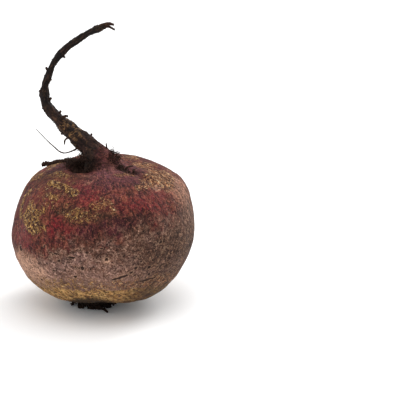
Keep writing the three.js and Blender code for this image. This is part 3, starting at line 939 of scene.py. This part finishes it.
root_fibre, tree, place = start_finish("root_fibre")
fibres = strokes(place, 1.4, 0.06, 0.45)
fibre_colour = blend(tree, speckle(tree, place, 3), colour(34, 22, 18), colour(54, 36, 29))
fibre_colour = blend(tree, times(fibres, 0.5), fibre_colour, colour(98, 72, 54))
end_finish(tree, fibre_colour, 0.8, specular=0.12, height=fibres, strength=0.5, depth=0.2)
rootlets.data.materials.append(root_fibre)
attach(rootlets, "root")
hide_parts("beetroot")


# The root hairs: fine dry hairs that stand in tangles round the taproot's foot, in the pocket
# and in the furrow, and here and there along the taproot.
hair_draw = np.random.default_rng(5)


def hair(start, way, length, girth):
    """A kinked hair from a place on the skin, as a thin three-sided tube."""
    knots = [np.array(start)]
    way = np.array(way, float)
    for _ in range(3):
        way = way / np.linalg.norm(way) + hair_draw.normal(0, 0.45, 3)
        knots.append(knots[-1] + way / np.linalg.norm(way) * length / 3)
    return tube(knots, girth, girth * 0.5, sides=3, step=0.55, gnarl=0.0)


SIDE_ROOT_HAIRS = 34
hairs = []
hair_normals = skin_normals()
behind_pocket = np.linalg.norm(skin_points - [-12.5, 1.0, 62.8], axis=1) / 4.2
right_of_foot = np.linalg.norm(skin_points - [4.4, -3.2, 67.2], axis=1) / 3.6
HAIR_CLUMPS = [  # share of a place on the skin, count, shortest, longest, half thickness, lift
    (beside_foot * (1 - beside_foot), 130, 2.2, 4.2, 0.15, -0.2),
    (beside_foot**2, 300, 1.6, 3.8, 0.17, 0.7),
    ((behind_pocket < 1).astype(float), 110, 1.6, 3.6, 0.17, 0.5),
    ((right_of_foot < 1).astype(float), 105, 1.4, 3.6, 0.15, 0.1),
    (in_furrow**2, 90, 1.0, 2.6, 0.14, 0.4),
    (on_taproot * smoothstep(150, 120, skin_along), 90, 0.6, 1.8, 0.11, 0.0),
    ((skin_along > taproot_start).astype(float), 110, 0.5, 1.4, 0.1, 0.0),
]
for likely, count, shortest, longest, girth, lift in HAIR_CLUMPS:
    for spot in hair_draw.choice(len(skin_points), count, p=likely / likely.sum()):
        way = hair_normals[spot] + hair_draw.normal(0, 0.45, 3) + [0, 0, lift]
        length = hair_draw.uniform(shortest, longest)
        hairs.append(hair(skin_points[spot], way, length, girth))
for share in hair_draw.uniform(0.1, 1.0, SIDE_ROOT_HAIRS):
    on_side_root = on_curve(SIDE_ROOT, share)[0]
    hairs.append(hair(on_side_root, hair_draw.normal(0, 1, 3), hair_draw.uniform(1.4, 2.4), 0.13))
root_hairs = grow("root_hairs", *join_tubes(hairs))
root_hairs.data.materials.append(root_fibre)
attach(root_hairs, "root")


# The tuft of leaf-stalk stubs: the leaves were cut off above the crown, and what is left of
# their stalks dried black and shrank. Wide thin stubs stand in a spiral on a woody base.
TUFT_RADIUS = 10.6
TUFT_GAP = 0.3
STUB_COUNT = 26
STUB_SIDES, STUB_RINGS = 20, 9
BASE_SIDES, BASE_RINGS = 96, 26
SHRED_COUNT = 64
GOLDEN_ANGLE = math.radians(137.508)
TUFT_TOP = SEAT_HEIGHT - TUFT_GAP
NO_SHIFT = np.zeros(3)


def stalk(turn, out, height, splay, length, width, seed):
    """A dried leaf stalk: thin, wide and ribbed, hollow towards the middle, torn at its end."""
    rings = []
    turns = bearings(STUB_SIDES)
    for share in np.linspace(0, 1, STUB_RINGS):
        narrow = 1 - 0.2 * share
        ribs = 1 + 0.13 * np.cos(5 * turns + seed) + 0.06 * np.cos(11 * turns + 2 * seed)
        thick = np.where(np.cos(turns) < 0, 0.15, 0.5) * width
        across = thick * np.cos(turns) * narrow * ribs
        aside = width * np.sin(turns) * narrow * ribs
        torn = 0.5 * share**4 * np.sin(3 * turns + seed * 1.7)
        down = -length * share * (1 + 0.1 * torn) - 0.25 * torn
        wilt = 0.35 * share**2 * math.sin(seed * 2.3)
        rings.append(np.stack([across, aside + wilt, down + 0 * turns], -1))
    points = np.vstack([*rings, rings[0].mean(0), rings[-1].mean(0) + [0, 0, 0.7]])
    c, s = math.cos(splay), math.sin(splay)
    tilted = np.stack([points[:, 0] * c - points[:, 2] * s, points[:, 1],
                       points[:, 0] * s + points[:, 2] * c], -1)
    tilted += [out, 0, height]
    c, s = math.cos(turn), math.sin(turn)
    turned = np.stack([tilted[:, 0] * c - tilted[:, 1] * s,
                       tilted[:, 0] * s + tilted[:, 1] * c, tilted[:, 2]], -1)
    turned[:, 2] = np.clip(turned[:, 2], 0, TUFT_TOP)
    return turned, ring_faces([STUB_SIDES] * STUB_RINGS)


tuft_profile = [(0.36, 0.0), (0.46, 0.8), (0.8, 1.3), (1.0, 3.1), (0.97, TUFT_TOP), (0.4, TUFT_TOP)]
base_rings = []
for share in np.linspace(0, 1, BASE_RINGS):
    out_share, height = on_curve(tuft_profile, share)[0]
    turns = bearings(BASE_SIDES)
    ripple = 1 + 0.05 * np.cos(13 * turns + 4 * share) + 0.03 * np.cos(29 * turns)
    out = np.clip(out_share, 0.05, 1) * TUFT_RADIUS * ripple
    height = np.full(BASE_SIDES, min(max(height, 0), TUFT_TOP))
    base_rings.append(np.stack([out * np.cos(turns), out * np.sin(turns), height], -1))
base_points = np.vstack([*base_rings, [0, 0, 0], [0, 0, TUFT_TOP]])
tuft_parts = [(base_points, ring_faces([BASE_SIDES] * BASE_RINGS))]
stub_random = source_random(41)
for i in range(1, STUB_COUNT + 1):
    stub_spread = math.sqrt(i / STUB_COUNT)
    splay = math.radians(8 + 26 * stub_spread + 12 * next(stub_random))
    length = 3.6 + 1.8 * next(stub_random) + 0.8 * stub_spread
    width = 1.3 + 0.8 * next(stub_random)
    out = (0.14 + 0.54 * stub_spread) * TUFT_RADIUS
    tuft_parts.append(stalk(i * GOLDEN_ANGLE, out, 3.6, splay, length, width, i))
tuft_parts.append(tube([(1.6, -6.4, 2.2), (3.4, -9.8, 1.2), (6.2, -13.8, 0.5)], 1.2, 0.4, sides=10))
shred_draw = np.random.default_rng(8)
for i in range(SHRED_COUNT):  # torn shreds of leaf base, from the rim of the seat to the tuft
    turn = 2 * math.pi * (i + shred_draw.uniform(-0.4, 0.4)) / SHRED_COUNT
    outer = shred_draw.uniform(12.6, 15.2)
    inner = shred_draw.uniform(9.6, 10.4)
    sway = shred_draw.normal(0, 0.12)
    knots = [
        (outer * math.cos(turn), outer * math.sin(turn), SEAT_HEIGHT + 0.25),
        (12 * math.cos(turn + sway / 2), 12 * math.sin(turn + sway / 2), 4.2),
        (inner * math.cos(turn + sway), inner * math.sin(turn + sway), 2.6),
        (inner * math.cos(turn + sway), inner * math.sin(turn + sway), shred_draw.uniform(0.9, 2)),
    ]
    tuft_parts.append(tube(knots, shred_draw.uniform(0.5, 0.9), 0.3, sides=6, seed=60 + i))
tuft = grow("dried_leaf_stalks", *join_tubes(tuft_parts), aside=NO_SHIFT)

dried_stalk, tree, place = start_finish("dried_stalk")
fibres = strokes(place, 1.6, 0.06, 0.45)
stalk_colour = blend(tree, speckle(tree, place, 2.5), colour(18, 12, 10), colour(34, 24, 18))
stalk_colour = blend(tree, times(fibres, 0.4), stalk_colour, colour(78, 56, 38))
end_finish(tree, stalk_colour, 0.85, specular=0.1, height=fibres, strength=0.6, depth=0.3)
tuft.data.materials.append(dried_stalk)
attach(tuft, "root")
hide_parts("leaf_stalk_stubs")


# The floor: a plain white sweep of paper, much larger than what the camera sees.
bpy.ops.mesh.primitive_plane_add(size=8, location=(0, 0, -0.0002))
floor = bpy.context.object
floor.name = "floor"
paper = bpy.data.materials.new("white_paper")
paper.use_nodes = True
paper.node_tree.nodes["Principled BSDF"].inputs["Base Color"].default_value = (0.87, 0.87, 0.87, 1)
paper.node_tree.nodes["Principled BSDF"].inputs["Roughness"].default_value = 1.0
paper.node_tree.nodes["Principled BSDF"].inputs["Specular IOR Level"].default_value = 0.0
floor.data.materials.append(paper)

# The light: a dimmed white room, with a white wall behind that the camera sees, one large soft
# lamp overhead, one at the left and a narrow one behind at the right for the light rim.
room = bpy.data.worlds.new("white_room")
bpy.context.scene.world = room
room.use_nodes = True
tree = room.node_tree
tree.nodes.clear()
seen_by_camera = put(tree, "ShaderNodeLightPath").outputs["Is Camera Ray"]
dimmed = put(tree, "ShaderNodeBackground", {"Color": (1, 1, 1, 1), "Strength": 0.93})
wall = put(tree, "ShaderNodeBackground", {"Color": (1, 1, 1, 1), "Strength": 1.0})
both = put(tree, "ShaderNodeMixShader", {0: seen_by_camera, 1: dimmed.outputs[0],
                                         2: wall.outputs[0]})
put(tree, "ShaderNodeOutputWorld", {"Surface": both.outputs[0]})


def softbox(name, place, wide, tall, energy):
    """A rectangular lamp that faces the middle of the bulb."""
    light = bpy.data.lights.new(name, "AREA")
    light.shape = "RECTANGLE"
    light.size = wide
    light.size_y = tall
    light.energy = energy
    lamp = bpy.data.objects.new(name, light)
    lamp.location = place
    lamp.rotation_euler = (Vector(place) - Vector((0, 0, 0.04))).to_track_quat("Z", "Y").to_euler()
    bpy.context.scene.collection.objects.link(lamp)


softbox("overhead_softbox", (0.1, -0.1, 1.2), 1.4, 1.0, 8.0)
softbox("left_softbox", (-1.1, -0.3, 0.7), 1.0, 0.8, 2.0)
softbox("right_rim_softbox", (0.6, 0.6, 0.6), 0.25, 0.6, 4.5)

# The camera: 18 degrees above level, 800 mm away, framed as the picture is.
ELEVATION = math.radians(18)
DISTANCE = 0.8
PIXELS_ACROSS = 400
MM_PER_PIXEL = 80 / 183
BULB_MIDDLE_PIXEL = (103.5, 228)
aim = BULB_ASIDE + np.array([
    (PIXELS_ACROSS / 2 - BULB_MIDDLE_PIXEL[0]) * MM_PER_PIXEL,
    0,
    WIDEST_HEIGHT + (BULB_MIDDLE_PIXEL[1] - PIXELS_ACROSS / 2) * MM_PER_PIXEL / math.cos(ELEVATION),
])
lens = bpy.data.cameras.new("camera")
lens.sensor_width = 36
lens.lens = 36 * DISTANCE / (PIXELS_ACROSS * MM_PER_PIXEL * MM)
lens.clip_start = 0.05
camera = bpy.data.objects.new("camera", lens)
away = Vector((0, -math.cos(ELEVATION), math.sin(ELEVATION)))
camera.location = Vector(aim * MM) + away * DISTANCE
camera.rotation_euler = (math.pi / 2 - ELEVATION, 0, 0)
bpy.context.scene.collection.objects.link(camera)
bpy.context.scene.camera = camera
bpy.context.scene.view_settings.view_transform = "Standard"
